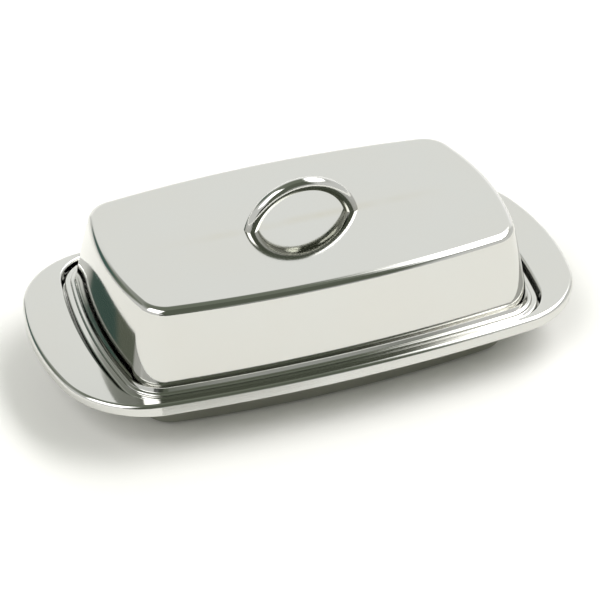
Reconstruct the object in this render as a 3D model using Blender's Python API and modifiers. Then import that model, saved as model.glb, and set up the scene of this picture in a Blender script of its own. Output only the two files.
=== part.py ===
"""Covered butter dish in polished sheet steel: a pressed tray and a lift-off lid with an arch handle.

The tray is one pressing. It stands on the floor of its well, and a recess runs round the well's mouth.
Wide flat wings at both ends carry the tray, and its outer edge is turned down into a short flared skirt.
The lid is a second pressing. Its turned-down edge stands in the recess, and it lifts straight off.
The handle is a bent rod, held to the lid by two screws from inside, each on a washer.

Frame: +X along the dish, +Y across it, +Z up, in metres. The origin is on the table, under the middle.
"""

import math
from collections import namedtuple

import bmesh
import bpy
from mathutils import Vector

# Every pressing has a bowed plan: two shallow end arcs and two shallow side arcs, joined by corner arcs.
Plan = namedtuple("Plan", "half_length half_width end_radius side_radius corner_radius")
# A station is one loop of a pressing: a plan, grown by a distance, at a height.
Station = namedtuple("Station", "plan grow height")

SHEET = 0.0006
CONTACT_GAP = 0.0003

# Tray
SKIRT_PLAN = Plan(0.0950, 0.0511, 0.0950, 0.5880, 0.0330)
RIM_PLAN = Plan(0.0936, 0.0488, 0.0955, 0.5880, 0.0290)
RECESS_WALL_PLAN = Plan(0.0790, 0.0471, 0.1750, 0.5930, 0.0160)
RECESS_FLOOR_PLAN = Plan(0.0735, 0.0421, 0.1705, 0.5890, 0.0118)
WELL_PLAN = Plan(0.0674, 0.0365, 0.1420, 0.4260, 0.0105)
RIM_HEIGHT = 0.0208
SKIRT_DROP = 0.0037
RECESS_FLOOR_HEIGHT = 0.0158
RIM_EDGE_RADIUS = 0.0014
RECESS_LIP_RADIUS = 0.00075
RECESS_FILLET = 0.0006
WELL_LIP_RADIUS = 0.0012
WELL_FILLET = 0.0024
WELL_WALL_LEAN = math.radians(20.0)

# Lid
LID_TOP_PLAN = Plan(0.0706, 0.0388, 0.0980, 0.4170, 0.0105)
LID_FLANGE_PLAN = Plan(0.0778, 0.0464, 0.1745, 0.5920, 0.0151)
LID_TOP_HEIGHT = 0.0482
LID_EDGE_RADIUS = 0.0027
LID_WALL_LEAN = math.radians(8.0)
LID_WALL_LOOPS = 3
FOOT_RADIUS = 0.0025
FOOT_LEAN = math.radians(25.0)
FOOT_CENTRE_INSET = 0.00152
FOOT_CENTRE_HEIGHT = 0.02221
SHELF_FILLET = 0.0003
SHELF_INSET = 0.0031
SHELF_WIDTH = 0.0004
SHELF_HEIGHT = 0.0201
SHELF_LIP_RADIUS = 0.00065
FLANGE_HEIGHT = 0.0193
FLANGE_FILLET = 0.00015
FLANGE_EDGE_RADIUS = 0.0007
LID_BASE = RECESS_FLOOR_HEIGHT + CONTACT_GAP

# Arch handle: part of a circle whose centre is below the lid's top.
HANDLE_RADIUS = 0.01875
HANDLE_CENTRE_DROP = 0.0050
HANDLE_ROD_RADIUS = 0.0024
HANDLE_POINTS = 30
HANDLE_OVERRUN = math.radians(12.0)

# Screws and washers inside the lid
SCREW_OFFSET = 0.0176
SHANK_RADIUS = 0.0012
SHANK_CHAMFER = 0.0002
SHANK_IN_HANDLE = 0.0026
BORE_RADIUS = 0.00145
BORE_DEPTH = 0.0030
LID_HOLE_RADIUS = 0.0016
HEAD_RADIUS = 0.0023
HEAD_HEIGHT = 0.0015
HEAD_ROUND = 0.0004
SOCKET_RADIUS = 0.00085
SOCKET_DEPTH = 0.0008
WASHER_OUTER_RADIUS = 0.0031
WASHER_INNER_RADIUS = 0.0016
WASHER_THICKNESS = 0.0005

# Loops of a plan: steps in half an end arc, a corner arc and half a side arc
END_STEPS = 4
CORNER_STEPS = 7
SIDE_STEPS = 4
BEND_STEPS = 4
TURN_STEPS = 24
MERGE_DISTANCE = 0.00001
SHARP_ANGLE = math.radians(40.0)
CUTTER_REACH = 0.004

STEEL = (0.67, 0.67, 0.63, 1.0)
ROD_STEEL = (0.67, 0.67, 0.63, 1.0)
ZINC = (0.62, 0.63, 0.64, 1.0)


def clear_scene():
    """Removes whatever the scene holds."""
    for thing in list(bpy.data.objects):
        bpy.data.objects.remove(thing, do_unlink=True)


def new_collection(name):
    """A collection linked to the scene."""
    collection = bpy.data.collections.new(name)
    bpy.context.scene.collection.children.link(collection)
    return collection


def metal(name, colour, roughness):
    """A bare metal material."""
    material = bpy.data.materials.new(name)
    material.use_nodes = True
    shader = material.node_tree.nodes["Principled BSDF"]
    shader.inputs["Base Color"].default_value = colour
    shader.inputs["Metallic"].default_value = 1.0
    shader.inputs["Roughness"].default_value = roughness
    return material


def add_object(name, mesh, collection, material=None, location=(0.0, 0.0, 0.0)):
    """An object on a mesh, smooth but for its sharp edges."""
    thing = bpy.data.objects.new(name, mesh)
    thing.location = location
    collection.objects.link(thing)
    if material:
        mesh.materials.clear()
        mesh.materials.append(material)
    mesh.shade_smooth()
    mesh.set_sharp_from_angle(angle=SHARP_ANGLE)
    return thing


def mark_cutter(thing):
    """Keeps a cutter out of the model."""
    thing.hide_render = True
    thing.display_type = "WIRE"


def cut(thing, cutter):
    """Takes a cutter's shape out of a piece."""
    modifier = thing.modifiers.new("cut_" + cutter.name, "BOOLEAN")
    modifier.operation = "DIFFERENCE"
    modifier.object = cutter


# ---- plans and pressings ----

def arc(centre, radius, first, last, steps):
    """Points of an arc from one angle to another, without the last."""
    points = []
    for step in range(steps):
        angle = first + (last - first) * step / steps
        points.append(centre + radius * Vector((math.cos(angle), math.sin(angle))))
    return points


def quarter_outline(plan, grow):
    """Points of a grown plan from the +X axis to the +Y axis."""
    half_length, half_width, end_radius, side_radius, corner_radius = (value + grow for value in plan)
    end_centre = Vector((half_length - end_radius, 0.0))
    side_centre = Vector((0.0, half_width - side_radius))
    # The corner arc's centre is where it touches both the end arc and the side arc.
    between = side_centre - end_centre
    span = between.length
    toward_side = between / span
    end_reach = end_radius - corner_radius
    side_reach = side_radius - corner_radius
    along = (end_reach ** 2 - side_reach ** 2 + span ** 2) / (2.0 * span)
    aside = math.sqrt(end_reach ** 2 - along ** 2)
    outward = Vector((-toward_side.y, toward_side.x))
    corner_centre = end_centre + along * toward_side + aside * outward
    from_end = corner_centre - end_centre
    from_side = corner_centre - side_centre
    end_angle = math.atan2(from_end.y, from_end.x)
    side_angle = math.atan2(from_side.y, from_side.x)
    points = arc(end_centre, end_radius, 0.0, end_angle, END_STEPS)
    points += arc(corner_centre, corner_radius, end_angle, side_angle, CORNER_STEPS)
    points += arc(side_centre, side_radius, side_angle, math.pi / 2, SIDE_STEPS)
    points.append(Vector((0.0, half_width)))
    return points


def outline(plan, grow):
    """Points of a whole grown plan, anticlockwise from the +X axis."""
    quarter = quarter_outline(plan, grow)
    half = quarter + [Vector((-point.x, point.y)) for point in reversed(quarter[:-1])]
    return half + [-point for point in half[1:-1]]


def bend(plan, grow, height, radius, first, last, steps=BEND_STEPS):
    """Stations round a bend of the sheet, whose centre is at a growth and a height."""
    stations = []
    for step in range(steps + 1):
        angle = first + (last - first) * step / steps
        stations.append(Station(plan, grow + radius * math.cos(angle), height + radius * math.sin(angle)))
    return stations


def blend_plans(first, last, share):
    """The plan part of the way between two others."""
    return Plan(*(a + (b - a) * share for a, b in zip(first, last)))


def wall_between(top, foot, loops):
    """Stations on a straight wall between two stations of unlike plans."""
    stations = []
    for loop in range(1, loops + 1):
        share = loop / (loops + 1)
        plan = blend_plans(top.plan, foot.plan, share)
        grow = top.grow + (foot.grow - top.grow) * share
        height = top.height + (foot.height - top.height) * share
        stations.append(Station(plan, grow, height))
    return stations


def station_loops(stations):
    """Points of the loop at each station."""
    loops = []
    for plan, grow, height in stations:
        loops.append([(point.x, point.y, height) for point in outline(plan, grow)])
    return loops


def pressing(name, places, collection, material):
    """A sheet pressed through loops of points, from the middle outwards, and thickened downwards."""
    shape = bmesh.new()
    loops = [[shape.verts.new(place) for place in loop] for loop in places]
    shape.faces.new(loops[0])
    count = len(loops[0])
    for inner, outer in zip(loops, loops[1:]):
        for index in range(count):
            after = (index + 1) % count
            shape.faces.new((inner[index], outer[index], outer[after], inner[after]))
    mesh = bpy.data.meshes.new(name)
    shape.to_mesh(mesh)
    shape.free()
    sheet = add_object(name, mesh, collection, material)
    solidify = sheet.modifiers.new("sheet", "SOLIDIFY")
    solidify.thickness = SHEET
    solidify.offset = -1.0
    solidify.use_even_offset = True
    solidify.use_quality_normals = True
    return sheet


def tray_stations():
    """The tray's upper side: well floor, well wall and recess, up to the flat rim."""
    wall_angle = -WELL_WALL_LEAN
    lip_height = RECESS_FLOOR_HEIGHT - WELL_LIP_RADIUS
    stations = bend(WELL_PLAN, -WELL_FILLET, SHEET + WELL_FILLET, WELL_FILLET, -math.pi / 2, wall_angle)
    stations += bend(RECESS_FLOOR_PLAN, 0.0, lip_height, WELL_LIP_RADIUS, math.pi + wall_angle, math.pi / 2)
    stations += bend(RECESS_WALL_PLAN, -RECESS_FILLET, RECESS_FLOOR_HEIGHT + RECESS_FILLET, RECESS_FILLET,
                     -math.pi / 2, 0.0, 2)
    stations += bend(RECESS_WALL_PLAN, RECESS_LIP_RADIUS, RIM_HEIGHT - RECESS_LIP_RADIUS, RECESS_LIP_RADIUS,
                     math.pi, math.pi / 2, 3)
    return stations


def skirt_loops():
    """Points of the rim's edge and the skirt, which flares most along the sides of the dish."""
    loops = [[] for step in range(BEND_STEPS + 2)]
    bend_height = RIM_HEIGHT - RIM_EDGE_RADIUS
    drop = SKIRT_DROP - RIM_EDGE_RADIUS
    for centre, foot in zip(outline(RIM_PLAN, 0.0), outline(SKIRT_PLAN, 0.0)):
        spread = (foot - centre).length
        outward = (foot - centre) / spread
        # The skirt leaves the bend where a line from the skirt's foot touches it.
        lean = math.acos(RIM_EDGE_RADIUS / math.hypot(spread, drop)) - math.atan2(drop, spread)
        for step in range(BEND_STEPS + 1):
            angle = math.pi / 2 + (lean - math.pi / 2) * step / BEND_STEPS
            point = centre + outward * RIM_EDGE_RADIUS * math.cos(angle)
            loops[step].append((point.x, point.y, bend_height + RIM_EDGE_RADIUS * math.sin(angle)))
        loops[-1].append((foot.x, foot.y, RIM_HEIGHT - SKIRT_DROP))
    return loops


def lid_stations():
    """The lid's upper side: top, wall, flared foot, shelf, flange and turned-down edge."""
    fillet_height = SHELF_HEIGHT + SHELF_FILLET
    lip_centre = SHELF_WIDTH - SHELF_INSET
    root_centre = lip_centre + SHELF_LIP_RADIUS + FLANGE_FILLET
    top = bend(LID_TOP_PLAN, -LID_EDGE_RADIUS, LID_TOP_HEIGHT - LID_EDGE_RADIUS, LID_EDGE_RADIUS,
               math.pi / 2, LID_WALL_LEAN, 5)
    foot = bend(LID_FLANGE_PLAN, -FOOT_CENTRE_INSET, FOOT_CENTRE_HEIGHT, FOOT_RADIUS,
                math.pi + LID_WALL_LEAN, math.pi + FOOT_LEAN, 2)
    fillet = bend(LID_FLANGE_PLAN, -SHELF_INSET, fillet_height, SHELF_FILLET,
                  math.pi + FOOT_LEAN, 1.5 * math.pi, 2)
    lip = bend(LID_FLANGE_PLAN, lip_centre, SHELF_HEIGHT - SHELF_LIP_RADIUS, SHELF_LIP_RADIUS,
               math.pi / 2, 0.0, 3)
    root = bend(LID_FLANGE_PLAN, root_centre, FLANGE_HEIGHT + FLANGE_FILLET, FLANGE_FILLET,
                math.pi, 1.5 * math.pi, 2)
    edge = bend(LID_FLANGE_PLAN, -FLANGE_EDGE_RADIUS, FLANGE_HEIGHT - FLANGE_EDGE_RADIUS,
                FLANGE_EDGE_RADIUS, math.pi / 2, 0.0, 3)
    end = Station(LID_FLANGE_PLAN, 0.0, LID_BASE)
    walls = top + wall_between(top[-1], foot[0], LID_WALL_LOOPS) + foot + fillet
    # The lip ends level with the flange's fillet, so there the two share one loop.
    return walls + lip + root[1:] + edge + [end]


# ---- turned and bent pieces ----

def turned(name, profile, closed, collection, material, location):
    """A piece turned about +Z from a profile that runs down its outer side."""
    shape = bmesh.new()
    points = [shape.verts.new((radius, 0.0, height)) for radius, height in profile]
    for first, second in zip(points, points[1:]):
        shape.edges.new((first, second))
    if closed:
        shape.edges.new((points[-1], points[0]))
    mesh = bpy.data.meshes.new(name)
    shape.to_mesh(mesh)
    shape.free()
    piece = add_object(name, mesh, collection, material, location)
    screw = piece.modifiers.new("turn", "SCREW")
    screw.steps = TURN_STEPS
    screw.render_steps = TURN_STEPS
    screw.use_merge_vertices = True
    screw.merge_threshold = MERGE_DISTANCE
    return piece


def cylinder(name, radius, low, high, x, collection, sides=TURN_STEPS):
    """An upright cylinder between two heights, as a cutter."""
    shape = bmesh.new()
    bmesh.ops.create_cone(shape, cap_ends=True, segments=sides, radius1=radius, radius2=radius,
                          depth=high - low)
    mesh = bpy.data.meshes.new(name)
    shape.to_mesh(mesh)
    shape.free()
    thing = add_object(name, mesh, collection, location=(x, 0.0, (low + high) / 2))
    mark_cutter(thing)
    return thing


def foot_cutter(collection):
    """A block whose top is the plane that the handle's feet stand on."""
    depth = 4 * CUTTER_REACH
    plane = LID_TOP_HEIGHT + CONTACT_GAP
    shape = bmesh.new()
    bmesh.ops.create_cube(shape, size=1.0)
    bmesh.ops.scale(shape, vec=(3 * HANDLE_RADIUS, 4 * HANDLE_ROD_RADIUS, depth), verts=shape.verts)
    mesh = bpy.data.meshes.new("handle_foot_cutter")
    shape.to_mesh(mesh)
    shape.free()
    block = add_object("handle_foot_cutter", mesh, collection, location=(0.0, 0.0, plane - depth / 2))
    mark_cutter(block)
    return block


def handle_rod(collection, material):
    """The arch as one closed mesh, running on below the plane where its feet are cut."""
    centre_height = LID_TOP_HEIGHT - HANDLE_CENTRE_DROP
    foot_angle = math.asin(HANDLE_CENTRE_DROP / HANDLE_RADIUS) - HANDLE_OVERRUN
    path = bpy.data.curves.new("handle_path", "CURVE")
    path.dimensions = "3D"
    path.bevel_depth = HANDLE_ROD_RADIUS
    path.bevel_resolution = 4
    path.use_fill_caps = True
    spline = path.splines.new("POLY")
    spline.points.add(HANDLE_POINTS - 1)
    for index, point in enumerate(spline.points):
        angle = foot_angle + (math.pi - 2 * foot_angle) * index / (HANDLE_POINTS - 1)
        x = HANDLE_RADIUS * math.cos(angle)
        z = HANDLE_RADIUS * math.sin(angle)
        point.co = (x, 0.0, centre_height + z, 1.0)
    curve = bpy.data.objects.new("handle_path", path)
    collection.objects.link(curve)
    bpy.context.view_layer.update()
    evaluated = curve.evaluated_get(bpy.context.evaluated_depsgraph_get())
    mesh = bpy.data.meshes.new_from_object(evaluated)
    mesh.name = "handle"
    shape = bmesh.new()
    shape.from_mesh(mesh)
    bmesh.ops.remove_doubles(shape, verts=shape.verts, dist=MERGE_DISTANCE)
    shape.to_mesh(mesh)
    shape.free()
    rod = add_object("handle", mesh, collection, material)
    rod.matrix_world = curve.matrix_world
    bpy.data.objects.remove(curve, do_unlink=True)
    return rod


# ---- the pieces ----

def make_tray(parts):
    """The tray, one pressing."""
    loops = station_loops(tray_stations()) + skirt_loops()
    return pressing("tray", loops, parts, metal("tray_steel", STEEL, 0.12))


def make_lid(parts, cutters):
    """The lid, one pressing with two screw holes."""
    lid = pressing("lid", station_loops(lid_stations()), parts, metal("lid_steel", STEEL, 0.10))
    for side, sign in (("left", -1), ("right", 1)):
        hole = cylinder("lid_hole_" + side, LID_HOLE_RADIUS, LID_TOP_HEIGHT - CUTTER_REACH,
                        LID_TOP_HEIGHT + CUTTER_REACH, sign * SCREW_OFFSET, cutters)
        cut(lid, hole)
    return lid


def make_handle(parts, cutters):
    """The arch handle, cut level at its feet and bored for the screws."""
    handle = handle_rod(parts, metal("handle_steel", ROD_STEEL, 0.12))
    cut(handle, foot_cutter(cutters))
    for side, sign in (("left", -1), ("right", 1)):
        bore = cylinder("handle_bore_" + side, BORE_RADIUS, LID_TOP_HEIGHT - CUTTER_REACH,
                        LID_TOP_HEIGHT + BORE_DEPTH, sign * SCREW_OFFSET, cutters)
        cut(handle, bore)
    return handle


def make_fixings(parts, cutters):
    """The screws and washers that hold the handle, under the lid's top."""
    steel = metal("screw_steel", ZINC, 0.30)
    washer_top = LID_TOP_HEIGHT - SHEET - CONTACT_GAP
    head_top = washer_top - WASHER_THICKNESS - CONTACT_GAP
    tip = LID_TOP_HEIGHT + SHANK_IN_HANDLE
    head_base = head_top - HEAD_HEIGHT
    screw_profile = (
        (0.0, tip - head_top),
        (SHANK_RADIUS - SHANK_CHAMFER, tip - head_top),
        (SHANK_RADIUS, tip - head_top - SHANK_CHAMFER),
        (SHANK_RADIUS, 0.0),
        (HEAD_RADIUS, 0.0),
        (HEAD_RADIUS, HEAD_ROUND - HEAD_HEIGHT),
        (HEAD_RADIUS - HEAD_ROUND, -HEAD_HEIGHT),
        (0.0, -HEAD_HEIGHT),
    )
    washer_profile = (
        (WASHER_OUTER_RADIUS, 0.0),
        (WASHER_OUTER_RADIUS, -WASHER_THICKNESS),
        (WASHER_INNER_RADIUS, -WASHER_THICKNESS),
        (WASHER_INNER_RADIUS, 0.0),
    )
    for side, sign in (("left", -1), ("right", 1)):
        x = sign * SCREW_OFFSET
        turned("washer_" + side, washer_profile, True, parts, steel, (x, 0.0, washer_top))
        screw = turned("handle_screw_" + side, screw_profile, False, parts, steel, (x, 0.0, head_top))
        socket = cylinder("socket_cutter_" + side, SOCKET_RADIUS, head_base - CUTTER_REACH,
                          head_base + SOCKET_DEPTH, x, cutters, sides=6)
        cut(screw, socket)


def main():
    """Builds the butter dish."""
    clear_scene()
    parts = new_collection("butter_dish")
    cutters = new_collection("cutters")
    make_tray(parts)
    make_lid(parts, cutters)
    make_handle(parts, cutters)
    make_fixings(parts, cutters)
    bpy.context.view_layer.update()


main()
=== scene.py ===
"""The looks of a covered butter dish: polished sheet steel on a pale table, under soft studio light.

The tray and the lid are remade here as fine pressings with round edges, and the handle as a fine rod.
The screws and washers inside the lid are the frame's own pieces, with a new finish.
Metres, +Z up: +X runs along the dish and +Y across it, as in the frame.
"""

import math
from collections import namedtuple

import bmesh
import bpy
import numpy as np
from mathutils import Matrix, Quaternion, Vector


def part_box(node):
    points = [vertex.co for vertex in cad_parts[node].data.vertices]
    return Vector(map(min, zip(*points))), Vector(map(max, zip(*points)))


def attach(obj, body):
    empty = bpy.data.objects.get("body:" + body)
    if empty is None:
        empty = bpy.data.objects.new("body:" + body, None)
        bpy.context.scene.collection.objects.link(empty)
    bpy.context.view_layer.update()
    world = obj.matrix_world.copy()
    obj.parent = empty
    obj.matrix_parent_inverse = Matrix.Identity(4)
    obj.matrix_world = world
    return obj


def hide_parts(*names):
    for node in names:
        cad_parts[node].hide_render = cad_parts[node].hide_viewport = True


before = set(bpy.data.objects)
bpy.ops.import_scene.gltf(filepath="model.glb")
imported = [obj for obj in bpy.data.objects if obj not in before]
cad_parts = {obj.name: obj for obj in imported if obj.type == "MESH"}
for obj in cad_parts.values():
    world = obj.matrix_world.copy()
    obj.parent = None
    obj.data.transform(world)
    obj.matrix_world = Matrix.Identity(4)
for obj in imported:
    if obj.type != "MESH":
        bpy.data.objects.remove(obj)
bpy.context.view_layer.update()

# Every pressing has a bowed plan: two shallow end arcs and two shallow side arcs, joined by corner arcs.
Plan = namedtuple("Plan", "half_length half_width end_radius side_radius corner_radius")
# A station is one loop of a pressing: a plan, grown by a distance, at a height. Lean is how far
# the sheet's surface faces up there, as an angle from level. Each may differ from point to point.
Station = namedtuple("Station", "plan grow height lean")

UP = math.pi / 2
OUT = 0.0
IN = math.pi
SHEET = 0.0006
EDGE_ROUND = 0.0002

# ---- sizes taken from the frame ----

_, tray_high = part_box("tray")
lid_low, lid_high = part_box("lid")
handle_low, handle_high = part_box("handle")
screw_low, screw_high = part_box("handle_screw_right")

RIM_HEIGHT = tray_high.z
LID_TOP_HEIGHT = lid_high.z
LID_BASE = lid_low.z
CONTACT_GAP = handle_low.z - lid_high.z
RECESS_FLOOR_HEIGHT = LID_BASE - CONTACT_GAP
SCREW_X = (screw_low.x + screw_high.x) / 2

# Tray
SKIRT_PLAN = Plan(tray_high.x, tray_high.y, 0.0950, 0.5880, 0.0330)
RIM_PLAN = Plan(0.0936, 0.0488, 0.0955, 0.5880, 0.0290)
RECESS_WALL_PLAN = Plan(0.0790, 0.0471, 0.1750, 0.5930, 0.0160)
RECESS_FLOOR_PLAN = Plan(0.0735, 0.0421, 0.1705, 0.5890, 0.0118)
WELL_PLAN = Plan(0.0674, 0.0365, 0.1420, 0.4260, 0.0105)
SKIRT_DROP = 0.0037
RIM_EDGE_RADIUS = 0.0014
RECESS_LIP_RADIUS = 0.00075
RECESS_FILLET = 0.0006
WELL_LIP_RADIUS = 0.0012
WELL_FILLET = 0.0024
WELL_WALL_LEAN = math.radians(20.0)

# Lid
LID_TOP_PLAN = Plan(0.0706, 0.0388, 0.0980, 0.4170, 0.0105)
LID_FLANGE_PLAN = Plan(lid_high.x, lid_high.y, 0.1745, 0.5920, 0.0151)
LID_EDGE_RADIUS = 0.0027
LID_WALL_LEAN = math.radians(8.0)
FOOT_RADIUS = 0.0025
FOOT_LEAN = math.radians(25.0)
FOOT_CENTRE_INSET = 0.00152
FOOT_CENTRE_HEIGHT = 0.02221
SHELF_FILLET = 0.0003
SHELF_INSET = 0.0031
SHELF_WIDTH = 0.0004
SHELF_HEIGHT = 0.0201
SHELF_LIP_RADIUS = 0.00065
FLANGE_HEIGHT = 0.0193
FLANGE_FILLET = 0.00015
FLANGE_EDGE_RADIUS = 0.0007
LID_HOLE_RADIUS = 0.0016
HOLE_POINTS = 48

# Arch handle
ROD_RADIUS = handle_high.y
HANDLE_CENTRE_DROP = 0.0050
HANDLE_RADIUS = handle_high.z - ROD_RADIUS - (LID_TOP_HEIGHT - HANDLE_CENTRE_DROP)
FOOT_SINK = 0.00003
ARCH_STEPS = 120
ROD_POINTS = 48

# Loops of a plan: steps in half an end arc, a corner arc and half a side arc
END_STEPS = 14
CORNER_STEPS = 18
SIDE_STEPS = 20
BEND_STEPS = 8
WALL_LOOPS = 8


# ---- shapes ----

def arc(centre, radius, first, last, steps):
    """Points of an arc and the directions it faces, without the last."""
    angles = first + (last - first) * np.arange(steps) / steps
    facing = np.stack([np.cos(angles), np.sin(angles)], axis=1)
    return centre + radius * facing, facing


def quarter_outline(plan):
    """Points and facings of a plan from the +X axis to the +Y axis."""
    half_length, half_width, end_radius, side_radius, corner_radius = plan
    end_centre = np.array([half_length - end_radius, 0.0])
    side_centre = np.array([0.0, half_width - side_radius])
    # The corner arc's centre is where it touches both the end arc and the side arc.
    between = side_centre - end_centre
    span = np.hypot(*between)
    toward_side = between / span
    end_reach = end_radius - corner_radius
    side_reach = side_radius - corner_radius
    along = (end_reach ** 2 - side_reach ** 2 + span ** 2) / (2.0 * span)
    aside = math.sqrt(end_reach ** 2 - along ** 2)
    outward = np.array([-toward_side[1], toward_side[0]])
    corner_centre = end_centre + along * toward_side + aside * outward
    end_angle = math.atan2(*(corner_centre - end_centre)[::-1])
    side_angle = math.atan2(*(corner_centre - side_centre)[::-1])
    pieces = [
        arc(end_centre, end_radius, 0.0, end_angle, END_STEPS),
        arc(corner_centre, corner_radius, end_angle, side_angle, CORNER_STEPS),
        arc(side_centre, side_radius, side_angle, math.pi / 2, SIDE_STEPS),
    ]
    points = np.concatenate([piece[0] for piece in pieces] + [[[0.0, half_width]]])
    facings = np.concatenate([piece[1] for piece in pieces] + [[[0.0, 1.0]]])
    return points, facings


def outline(plan):
    """Points and facings of a whole plan, anticlockwise from the +X axis."""
    loops = []
    for quarter in quarter_outline(plan):
        half = np.concatenate([quarter, (quarter[:-1] * (-1.0, 1.0))[::-1]])
        loops.append(np.concatenate([half, -half[1:-1]]))
    return loops


def bend(plan, grow, height, radius, first, last, hollow=False, steps=BEND_STEPS):
    """Stations round a bend of the sheet, whose centre is at a growth and a height."""
    stations = []
    for angle in np.linspace(first, last, steps + 1):
        lean = angle + (math.pi if hollow else 0.0)
        x = grow + radius * np.cos(angle)
        stations.append(Station(plan, x, height + radius * np.sin(angle), lean))
    return stations


def wall_between(top, foot):
    """Stations on a straight wall between two stations of unlike plans."""
    stations = []
    for share in np.linspace(0.0, 1.0, WALL_LOOPS + 2)[1:-1]:
        plan = Plan(*(a + (b - a) * share for a, b in zip(top.plan, foot.plan)))
        values = (a + (b - a) * share for a, b in zip(top[1:3], foot[1:3]))
        stations.append(Station(plan, *values, top.lean))
    return stations


def underside(stations):
    """The other side of the sheet, from its edge back to the middle."""
    other = []
    for plan, grow, height, lean in reversed(stations):
        x = grow - SHEET * np.cos(lean)
        other.append(Station(plan, x, height - SHEET * np.sin(lean), lean + math.pi))
    return other


def cut_edge(last):
    """Stations round the sheet's cut edge, beyond its last station."""
    plan, grow, height, lean = last
    ahead = lean - math.pi / 2
    stations = []
    for depth, first in ((EDGE_ROUND, lean), (SHEET - EDGE_ROUND, ahead)):
        x = grow - depth * np.cos(lean)
        z = height - depth * np.sin(lean)
        stations += bend(plan, x, z, EDGE_ROUND, first, first - math.pi / 2, steps=4)
    return stations


def sheet_stations(upper):
    """Both sides of a sheet and the cut edge between them, as one run of stations."""
    return upper[:-1] + cut_edge(upper[-1]) + underside(upper[:-1])


def tray_stations():
    """The tray's upper side: well floor, well wall, recess, rim and skirt."""
    wall_angle = -WELL_WALL_LEAN
    stations = bend(WELL_PLAN, -WELL_FILLET, SHEET + WELL_FILLET, WELL_FILLET, -UP, wall_angle, hollow=True)
    stations += bend(RECESS_FLOOR_PLAN, 0.0, RECESS_FLOOR_HEIGHT - WELL_LIP_RADIUS, WELL_LIP_RADIUS,
                     IN + wall_angle, UP)
    stations += bend(RECESS_WALL_PLAN, -RECESS_FILLET, RECESS_FLOOR_HEIGHT + RECESS_FILLET, RECESS_FILLET,
                     -UP, OUT, hollow=True)
    stations += bend(RECESS_WALL_PLAN, RECESS_LIP_RADIUS, RIM_HEIGHT - RECESS_LIP_RADIUS, RECESS_LIP_RADIUS,
                     IN, UP)
    return stations + rim_stations()


def rim_stations():
    """The rim's edge and the skirt, which flares most along the sides of the dish."""
    centres, facings = outline(RIM_PLAN)
    spread = np.sum((outline(SKIRT_PLAN)[0] - centres) * facings, axis=1)
    drop = SKIRT_DROP - RIM_EDGE_RADIUS
    # The skirt leaves the bend where a line from the skirt's foot touches it.
    lean = np.arccos(RIM_EDGE_RADIUS / np.hypot(spread, drop)) - np.arctan2(drop, spread)
    stations = bend(RIM_PLAN, 0.0, RIM_HEIGHT - RIM_EDGE_RADIUS, RIM_EDGE_RADIUS, UP, lean)
    x = spread - EDGE_ROUND * np.sin(lean)
    stations.append(Station(RIM_PLAN, x, RIM_HEIGHT - SKIRT_DROP + EDGE_ROUND * np.cos(lean), lean))
    return stations


def lid_stations():
    """The lid's upper side: top, wall, flared foot, shelf, flange and turned-down edge."""
    fillet_height = SHELF_HEIGHT + SHELF_FILLET
    lip_centre = SHELF_WIDTH - SHELF_INSET
    root_centre = lip_centre + SHELF_LIP_RADIUS + FLANGE_FILLET
    top = bend(LID_TOP_PLAN, -LID_EDGE_RADIUS, LID_TOP_HEIGHT - LID_EDGE_RADIUS, LID_EDGE_RADIUS,
               UP, LID_WALL_LEAN, steps=2 * BEND_STEPS)
    foot = bend(LID_FLANGE_PLAN, -FOOT_CENTRE_INSET, FOOT_CENTRE_HEIGHT, FOOT_RADIUS,
                IN + LID_WALL_LEAN, IN + FOOT_LEAN, hollow=True)
    fillet = bend(LID_FLANGE_PLAN, -SHELF_INSET, fillet_height, SHELF_FILLET,
                  IN + FOOT_LEAN, 3 * UP, hollow=True)
    lip = bend(LID_FLANGE_PLAN, lip_centre, SHELF_HEIGHT - SHELF_LIP_RADIUS, SHELF_LIP_RADIUS, UP, OUT)
    root = bend(LID_FLANGE_PLAN, root_centre, FLANGE_HEIGHT + FLANGE_FILLET, FLANGE_FILLET,
                IN, 3 * UP, hollow=True)
    edge = bend(LID_FLANGE_PLAN, -FLANGE_EDGE_RADIUS, FLANGE_HEIGHT - FLANGE_EDGE_RADIUS,
                FLANGE_EDGE_RADIUS, UP, OUT)
    end = Station(LID_FLANGE_PLAN, 0.0, LID_BASE + EDGE_ROUND, OUT)
    return top + wall_between(top[-1], foot[0]) + foot + fillet + lip + root[1:] + edge + [end]


def new_piece(name, shape, facings, node, body, material):
    """A smooth object that stands for a node. Facings give each corner of each face its exact direction."""
    mesh = bpy.data.meshes.new(name)
    shape.to_mesh(mesh)
    shape.free()
    mesh.materials.append(material)
    mesh.shade_smooth()
    corner_facings = []
    for face in mesh.polygons:
        for vertex in face.vertices:
            corner_facings.append(facings(face.index, vertex))
    mesh.normals_split_custom_set(corner_facings)
    piece = bpy.data.objects.new(name, mesh)
    bpy.context.scene.collection.objects.link(piece)
    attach(piece, body)
    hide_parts(node)
    return piece


def join_loops(shape, first, second):
    """Faces between two loops of as many points."""
    count = len(first)
    for index in range(count):
        after = (index + 1) % count
        shape.faces.new((first[index], second[index], second[after], first[after]))


def hole_loop(shape, x, height):
    """A round hole's edge in a level sheet."""
    loop = []
    for index in range(HOLE_POINTS):
        angle = 2 * math.pi * index / HOLE_POINTS
        place = (x + LID_HOLE_RADIUS * math.cos(angle), LID_HOLE_RADIUS * math.sin(angle), height)
        loop.append(shape.verts.new(place))
    return loop


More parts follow.
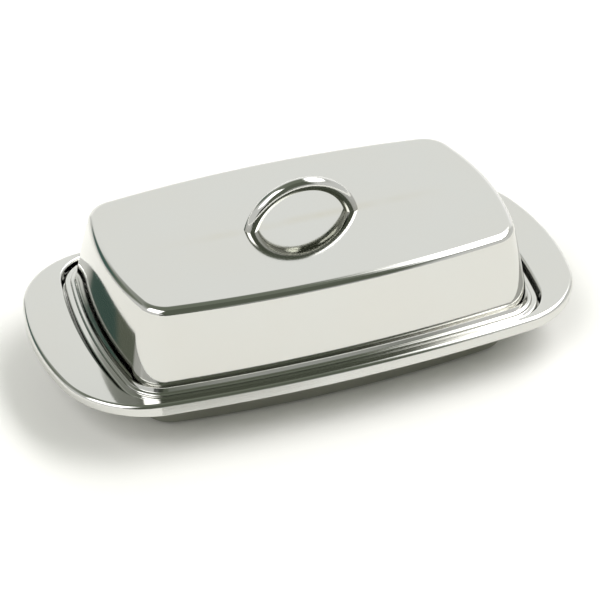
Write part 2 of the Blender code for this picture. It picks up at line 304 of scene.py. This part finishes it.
def close_sheet(shape, loop, holes, facing):
    """Fills a level loop, round its holes."""
    if not holes:
        shape.faces.new(loop if facing > 0 else loop[::-1])
        return
    edges = []
    for border in [loop] + holes:
        for first, second in zip(border, border[1:] + border[:1]):
            edges.append(shape.edges.get((first, second)) or shape.edges.new((first, second)))
    made = bmesh.ops.triangle_fill(shape, edges=edges, use_beauty=True, normal=(0, 0, facing))
    for face in (item for item in made["geom"] if isinstance(item, bmesh.types.BMFace)):
        face.normal_update()
        if face.normal.z * facing < 0:
            face.normal_flip()


def pressing(name, upper, hole_places, node, body, material):
    """A sheet pressed through its stations: both sides, the cut edge, and round holes along X."""
    stations = sheet_stations(upper)
    shape = bmesh.new()
    facings = []
    loops = []
    for station in stations:
        points, outward = outline(station.plan)
        grow, height, lean = (np.resize(value, (len(points), 1)) for value in station[1:])
        places = np.hstack([points + outward * grow, height])
        loops.append([shape.verts.new(place) for place in places])
        facings += np.hstack([outward * np.cos(lean), np.sin(lean)]).tolist()
    for first, second in zip(loops, loops[1:]):
        join_loops(shape, first, second)
    tops = [hole_loop(shape, x, stations[0].height) for x in hole_places]
    bottoms = [hole_loop(shape, x, stations[-1].height) for x in hole_places]
    wall_start = len(shape.faces)
    for top, bottom in zip(tops, bottoms):
        join_loops(shape, bottom, top)
    wall_end = len(shape.faces)
    close_sheet(shape, loops[0], tops, 1)
    close_sheet(shape, loops[-1], bottoms, -1)
    shape.verts.index_update()
    in_order = sorted(shape.verts, key=lambda vertex: vertex.index)
    places = [vertex.co.copy() for vertex in in_order]
    middle = (stations[0].height + stations[-1].height) / 2

    def facing(face, vertex):
        if wall_start <= face < wall_end:
            place = places[vertex]
            nearest = min(hole_places, key=lambda x: abs(x - place.x))
            return ((nearest - place.x) / LID_HOLE_RADIUS, -place.y / LID_HOLE_RADIUS, 0.0)
        if vertex < len(facings):
            return facings[vertex]
        return (0.0, 0.0, 1.0 if places[vertex].z > middle else -1.0)

    return new_piece(name, shape, facing, node, body, material)


def arch_handle(name, node, body, material):
    """A rod bent to part of a circle, whose feet are cut level where they meet the lid."""
    centre = LID_TOP_HEIGHT - HANDLE_CENTRE_DROP
    shape = bmesh.new()
    facings = []
    lines = []
    for index in range(ROD_POINTS):
        round_angle = 2 * math.pi * index / ROD_POINTS
        reach = HANDLE_RADIUS + ROD_RADIUS * math.cos(round_angle)
        foot_angle = math.asin((HANDLE_CENTRE_DROP - FOOT_SINK) / reach)
        line = []
        aside = ROD_RADIUS * math.sin(round_angle)
        for angle in np.linspace(foot_angle, math.pi - foot_angle, ARCH_STEPS + 1):
            place = (reach * math.cos(angle), aside, centre + reach * math.sin(angle))
            line.append(shape.verts.new(place))
            level = math.cos(round_angle)
            facings.append((level * math.cos(angle), math.sin(round_angle), level * math.sin(angle)))
        lines.append(line)
    for index, line in enumerate(lines):
        beside = lines[(index + 1) % ROD_POINTS]
        for step in range(ARCH_STEPS):
            shape.faces.new((line[step], beside[step], beside[step + 1], line[step + 1]))
    sides = len(shape.faces)
    shape.faces.new([line[0] for line in reversed(lines)])
    shape.faces.new([line[-1] for line in lines])

    def facing(face, vertex):
        return facings[vertex] if face < sides else (0.0, 0.0, -1.0)

    return new_piece(name, shape, facing, node, body, material)


# ---- finishes ----

STEEL = (0.630, 0.630, 0.608, 1.0)
STEEL_WARM = (0.632, 0.626, 0.597, 1.0)
STEEL_TINTED = (0.600, 0.578, 0.505, 1.0)
CREVICE_PAINTED_SHADE = (0.012, 0.013, 0.011, 1.0)
UNDERSIDE_PAINTED_SHADE = (0.36, 0.365, 0.32, 1.0)
ZINC_DARK = (0.56, 0.57, 0.58, 1.0)
ZINC_PALE = (0.70, 0.70, 0.69, 1.0)
TABLE_DULL = (0.945, 0.93, 0.90, 1.0)
TABLE_WHITE = (0.96, 0.95, 0.925, 1.0)

SHEET_ROUGHNESS = 0.07
ROD_ROUGHNESS = 0.09
TABLE_ROUGHNESS = 0.9
TABLE_GLOSS = 0.2

# How open a gap must be for its painted shade to start fading and to be gone, as a share of open sky
TRAY_OPENNESS = (0.02, 0.09)
LID_OPENNESS = (0.15, 0.45)
ROD_OPENNESS = (0.05, 0.25)
CREVICE_REACH = 0.0045
CREVICE_RAYS = 8

# A faint warm streak along the middle of the lid
TINT_HALF_WIDTH = 0.0035
TINT_HALF_LENGTH = 0.055
TINT_STRENGTH = 0.8

# Scales count the features in a metre, and heights are in metres.
# The grain and the scratches are long along X.
CLOUD_SCALE = 28.0
GRAIN_STRETCH = (60, 3500, 3500)
GRAIN_HEIGHT = 0.0000015
SCRATCH_STRETCH = (90, 1900, 1900)
SCRATCH_FROM_TO = (0.66, 0.78)
WAVE_SCALE = 14.0
WAVE_HEIGHT = 0.00003
TINT_PATCH_SCALE = 60.0
MOTTLE_SCALE = 900.0
ZINC_GRAIN_SCALE = 5000.0
ZINC_GRAIN_HEIGHT = 0.00001
TABLE_CLOUD_SCALE = 6.0
TABLE_GRAIN_SCALE = 3000.0
TABLE_GRAIN_HEIGHT = 0.00002

# The upward part of a facing below which a surface is an underside, painted darker as shade, and above which
# it isn't
UNDERSIDE_FROM_TO = (-0.3, -0.1)


class Graph:
    """A small helper that adds nodes to one shader tree."""

    def __init__(self, tree, coordinates):
        self.tree = tree
        self.place = self.add("ShaderNodeTexCoord").outputs[coordinates]

    def add(self, kind, **values):
        """A node, with its settings and its unlinked inputs."""
        node = self.tree.nodes.new(kind)
        for key, value in values.items():
            if key in node.inputs:
                node.inputs[key].default_value = value
            else:
                setattr(node, key, value)
        return node

    def feed(self, source, target):
        """Joins an output to an input, or sets the input to a value."""
        if isinstance(source, bpy.types.NodeSocket):
            self.tree.links.new(source, target)
        else:
            target.default_value = source

    def stretched(self, scale):
        """The coordinates, scaled along each axis."""
        mapping = self.add("ShaderNodeMapping")
        mapping.inputs["Scale"].default_value = scale
        self.feed(self.place, mapping.inputs["Vector"])
        return mapping.outputs["Vector"]

    def noise(self, scale, detail=3.0, roughness=0.5, stretch=(1, 1, 1)):
        """Noise, from 0 to 1."""
        node = self.add("ShaderNodeTexNoise", Scale=scale, Detail=detail, Roughness=roughness)
        self.feed(self.stretched(stretch), node.inputs["Vector"])
        return node.outputs["Fac"]

    def between(self, source, low, high, out_low=0.0, out_high=1.0, curve="LINEAR"):
        """A value rescaled from one range to another, and kept inside it."""
        node = self.add("ShaderNodeMapRange", interpolation_type=curve)
        for key, value in (("From Min", low), ("From Max", high), ("To Min", out_low), ("To Max", out_high)):
            node.inputs[key].default_value = value
        self.feed(source, node.inputs["Value"])
        return node.outputs["Result"]

    def math(self, operation, *values):
        """Values or outputs, combined."""
        node = self.add("ShaderNodeMath", operation=operation)
        for value, socket in zip(values, node.inputs):
            self.feed(value, socket)
        return node.outputs["Value"]

    def along(self, direction):
        """How far the coordinates reach along a direction."""
        node = self.add("ShaderNodeVectorMath", operation="DOT_PRODUCT")
        self.feed(self.place, node.inputs[0])
        self.feed(direction, node.inputs[1])
        return node.outputs["Value"]

    def mix(self, share, first, second):
        """Two colours, mixed by a share."""
        node = self.add("ShaderNodeMix", data_type="RGBA")
        self.feed(share, node.inputs[0])
        self.feed(first, node.inputs[6])
        self.feed(second, node.inputs[7])
        return node.outputs[2]

    def openness(self, reach, shut, clear):
        """How open the surface is, from 0 in a tight gap to 1."""
        node = self.add("ShaderNodeAmbientOcclusion", Distance=reach, samples=CREVICE_RAYS)
        return self.between(node.outputs["AO"], shut, clear, curve="SMOOTHSTEP")

    def underside(self):
        """1 where the surface faces down, and 0 where it faces up or out."""
        normal = self.add("ShaderNodeNewGeometry").outputs["Normal"]
        parts = self.add("ShaderNodeSeparateXYZ")
        self.feed(normal, parts.inputs["Vector"])
        return self.between(parts.outputs["Z"], *UNDERSIDE_FROM_TO, 1.0, 0.0)

    def bump(self, height, distance, normal=None):
        """A bump of a real height, over another bump if one is given."""
        node = self.add("ShaderNodeBump", Strength=1.0, Distance=distance)
        self.feed(height, node.inputs["Height"])
        if normal:
            self.feed(normal, node.inputs["Normal"])
        return node.outputs["Normal"]


class Finish(Graph):
    """The nodes of one material, on the object's own coordinates."""

    def __init__(self, name):
        self.material = bpy.data.materials.new(name)
        self.material.use_nodes = True
        super().__init__(self.material.node_tree, "Object")
        self.shader = self.tree.nodes["Principled BSDF"]

    def set(self, **sources):
        """Feeds the shader's inputs, named with _ for each space."""
        for key, source in sources.items():
            self.feed(source, self.shader.inputs[key.replace("_", " ")])


def polished_steel(name, roughness, open_from_to, tinted=False):
    """Polished stainless steel: a faint grain, fine wiping scratches and a slight wave in the sheet.

    Painted shade makes it near black in tight gaps and darker where it faces down. A tinted one has a faint
    warm streak along X.
    """
    finish = Finish(name)
    cloud = finish.noise(CLOUD_SCALE, 4.0)
    grain = finish.noise(1.0, 5.0, 0.7, stretch=GRAIN_STRETCH)
    scratch = finish.between(finish.noise(1.0, 2.0, 0.5, stretch=SCRATCH_STRETCH), *SCRATCH_FROM_TO)
    rough = finish.between(cloud, 0.3, 0.75, roughness * 0.8, roughness * 1.25)
    rough = finish.math("MULTIPLY_ADD", scratch, roughness * 0.6, rough)
    wave = finish.bump(finish.noise(WAVE_SCALE, 1.0), WAVE_HEIGHT)
    colour = finish.mix(finish.between(cloud, 0.35, 0.7), STEEL, STEEL_WARM)
    if tinted:
        aside = finish.math("ABSOLUTE", finish.along((0.0, 1.0, 0.0)))
        out = finish.math("ABSOLUTE", finish.along((1.0, 0.0, 0.0)))
        streak = finish.between(aside, 0.0, TINT_HALF_WIDTH, 1.0, 0.0, curve="SMOOTHSTEP")
        fade = finish.between(out, 0.0, TINT_HALF_LENGTH, TINT_STRENGTH, 0.0)
        streak = finish.math("MULTIPLY", streak, fade)
        streak = finish.math("MULTIPLY", streak, finish.between(finish.noise(TINT_PATCH_SCALE), 0.3, 0.6))
        colour = finish.mix(streak, colour, STEEL_TINTED)
    # Painted shade: darker where the surface faces down.
    colour = finish.mix(finish.underside(), colour, UNDERSIDE_PAINTED_SHADE)
    finish.set(
        Metallic=1.0,
        # Painted shade: the colour turns near black in tight gaps, by how open the surface is.
        Base_Color=finish.mix(finish.openness(CREVICE_REACH, *open_from_to), CREVICE_PAINTED_SHADE, colour),
        Roughness=rough,
        Normal=finish.bump(grain, GRAIN_HEIGHT, normal=wave),
    )
    return finish.material


def satin_zinc(name):
    """Zinc-plated steel: satin, mottled and slightly worn."""
    finish = Finish(name)
    mottle = finish.noise(MOTTLE_SCALE, 5.0, 0.6)
    finish.set(
        Metallic=1.0,
        Base_Color=finish.mix(mottle, ZINC_DARK, ZINC_PALE),
        Roughness=finish.between(mottle, 0.3, 0.7, 0.24, 0.40),
        Normal=finish.bump(finish.noise(ZINC_GRAIN_SCALE, 3.0), ZINC_GRAIN_HEIGHT),
    )
    return finish.material


def pale_floor(name):
    """A matt white studio table."""
    finish = Finish(name)
    cloud = finish.noise(TABLE_CLOUD_SCALE, 3.0)
    finish.set(
        Base_Color=finish.mix(cloud, TABLE_DULL, TABLE_WHITE),
        Roughness=TABLE_ROUGHNESS,
        Specular_IOR_Level=TABLE_GLOSS,
        Normal=finish.bump(finish.noise(TABLE_GRAIN_SCALE, 3.0), TABLE_GRAIN_HEIGHT),
    )
    return finish.material


# ---- the object ----

tray_finish = polished_steel("polished_tray", SHEET_ROUGHNESS, TRAY_OPENNESS)
lid_finish = polished_steel("polished_lid", SHEET_ROUGHNESS, LID_OPENNESS, tinted=True)
rod_finish = polished_steel("polished_rod", ROD_ROUGHNESS, ROD_OPENNESS)
zinc_finish = satin_zinc("satin_zinc")

pressing("tray_sheet", tray_stations(), (), "tray", "tray", tray_finish)
pressing("lid_sheet", lid_stations(), (-SCREW_X, SCREW_X), "lid", "lid", lid_finish)
arch_handle("handle_rod", "handle", "lid", rod_finish)

for node in ("handle_screw_left", "handle_screw_right", "washer_left", "washer_right"):
    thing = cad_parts[node]
    thing.data.materials.clear()
    thing.data.materials.append(zinc_finish)


# ---- the studio ----

def grey(level, green=0.0):
    """A grey, with a little green."""
    return (level, level * (1.0 + green), level * (1.0 - green), 1.0)


# A panel faces the dish from a direction in degrees. Azimuth 0 is behind the dish and 90 is to its right.
# Its half sizes and its softness are for a panel one metre away. Light is a colour times a strength.
Panel = namedtuple("Panel", "azimuth elevation half_width half_height softness light")

BACKDROP = Panel(22, 10, 0.72, 0.60, 0.10, grey(1.06, 0.012))
BACKDROP_GLOW = Panel(22, 5, 0.72, 0.30, 0.15, grey(1.25))
LEFT_SHADE = Panel(-36, 27, 0.31, 0.25, 0.12, grey(0.20, 0.12))
LEFT_SHADE_CORE = Panel(-29, 22, 0.17, 0.18, 0.03, (0.085, 0.15, 0.13, 1.0))
FRONT_SHADE = Panel(180, 35, 0.55, 0.80, 0.10, grey(0.13, 0.14))
FRONT_RIGHT_PALE = Panel(165, 5, 0.17, 0.20, 0.10, grey(0.42, 0.03))
FRONT_RIGHT_STRIP = Panel(152, 2, 0.24, 0.07, 0.05, grey(0.72))
FRONT_LEFT_SHADE = Panel(-153, 4, 0.24, 0.16, 0.04, grey(0.04, 0.1))
RIGHT_LAMP = Panel(85, 53, 0.72, 0.14, 0.09, grey(5.4))
RIGHT_LAMP_MIDDLE = Panel(85, 53, 0.36, 0.23, 0.09, grey(5.4))
LEFT_LAMP = Panel(-113, 48, 0.36, 0.36, 0.08, grey(3.5))

# A later panel hides an earlier one.
PANELS = (
    BACKDROP,
    BACKDROP_GLOW,
    LEFT_SHADE,
    LEFT_SHADE_CORE,
    FRONT_SHADE,
    FRONT_RIGHT_PALE,
    FRONT_RIGHT_STRIP,
    FRONT_LEFT_SHADE,
    RIGHT_LAMP,
    RIGHT_LAMP_MIDDLE,
    LEFT_LAMP,
)
ROOM_LOW = grey(0.80, 0.01)
ROOM_HIGH = grey(0.20, 0.12)
# Where the room turns from its low light to its high light, as a share of straight up
CEILING_FROM_TO = (0.35, 0.9)

# Keeps a panel's sizes finite for directions beside it and behind it
LEAST_DEPTH = 0.01

FLOOR_HALF = 3.0
CAMERA_AZIMUTH = math.radians(-22.02)
CAMERA_ELEVATION = math.radians(35.66)
CAMERA_ROLL = math.radians(0.74)
CAMERA_DISTANCE = 0.8258
CAMERA_AIM = Vector((0.00747, 0.01865, 0.0))
CAMERA_LENS = 139.05
CAMERA_NEAR = 0.01


def add_floor():
    """The table, wide enough to be all that the camera sees."""
    shape = bmesh.new()
    bmesh.ops.create_grid(shape, x_segments=1, y_segments=1, size=FLOOR_HALF)
    mesh = bpy.data.meshes.new("floor")
    shape.to_mesh(mesh)
    shape.free()
    mesh.materials.append(pale_floor("pale_floor"))
    floor = bpy.data.objects.new("floor", mesh)
    bpy.context.scene.collection.objects.link(floor)


class Sky(Graph):
    """The studio around the dish, as light from each direction."""

    def __init__(self, low, high):
        self.world = bpy.data.worlds.new("studio")
        self.world.use_nodes = True
        super().__init__(self.world.node_tree, "Generated")
        rise = self.between(self.along((0.0, 0.0, 1.0)), *CEILING_FROM_TO, curve="SMOOTHSTEP")
        self.light = self.mix(rise, low, high)

    def hang(self, panel):
        """Hangs a flat panel in front of what is there."""
        side = math.radians(panel.azimuth)
        rise = math.radians(panel.elevation)
        centre = Vector((math.sin(side) * math.cos(rise), math.cos(side) * math.cos(rise), math.sin(rise)))
        across = Vector((math.cos(side), -math.sin(side), 0.0))
        depth = self.math("MAXIMUM", self.along(centre), LEAST_DEPTH)
        share = 1.0
        for direction, half in ((across, panel.half_width), (across.cross(centre), panel.half_height)):
            reach = self.math("DIVIDE", self.math("ABSOLUTE", self.along(direction)), depth)
            edge = (half - panel.softness, half + panel.softness)
            inside = self.between(reach, *edge, 1.0, 0.0, curve="SMOOTHSTEP")
            share = self.math("MULTIPLY", inside, share)
        self.light = self.mix(share, self.light, panel.light)

    def finish(self):
        """Joins the light to the world."""
        background = self.tree.nodes["Background"]
        self.feed(self.light, background.inputs["Color"])
        bpy.context.scene.world = self.world


def add_studio():
    """A dim room with a pale backdrop behind the dish, a soft light on each side and dark in front."""
    sky = Sky(ROOM_LOW, ROOM_HIGH)
    for panel in PANELS:
        sky.hang(panel)
    sky.finish()


def add_camera():
    """The camera, round the dish by its azimuth and above it by its elevation."""
    level = math.cos(CAMERA_ELEVATION)
    back = Vector((
        math.sin(CAMERA_AZIMUTH) * level,
        -math.cos(CAMERA_AZIMUTH) * level,
        math.sin(CAMERA_ELEVATION),
    ))
    level_right = Vector((math.cos(CAMERA_AZIMUTH), math.sin(CAMERA_AZIMUTH), 0.0))
    right = Quaternion(back, CAMERA_ROLL) @ level_right
    camera = bpy.data.cameras.new("camera")
    camera.lens = CAMERA_LENS
    camera.clip_start = CAMERA_NEAR
    holder = bpy.data.objects.new("camera", camera)
    holder.location = CAMERA_AIM + back * CAMERA_DISTANCE
    holder.rotation_euler = Matrix((right, back.cross(right), back)).transposed().to_euler()
    bpy.context.scene.collection.objects.link(holder)
    bpy.context.scene.camera = holder


add_floor()
add_studio()
add_camera()

bpy.context.scene.view_settings.view_transform = "Standard"
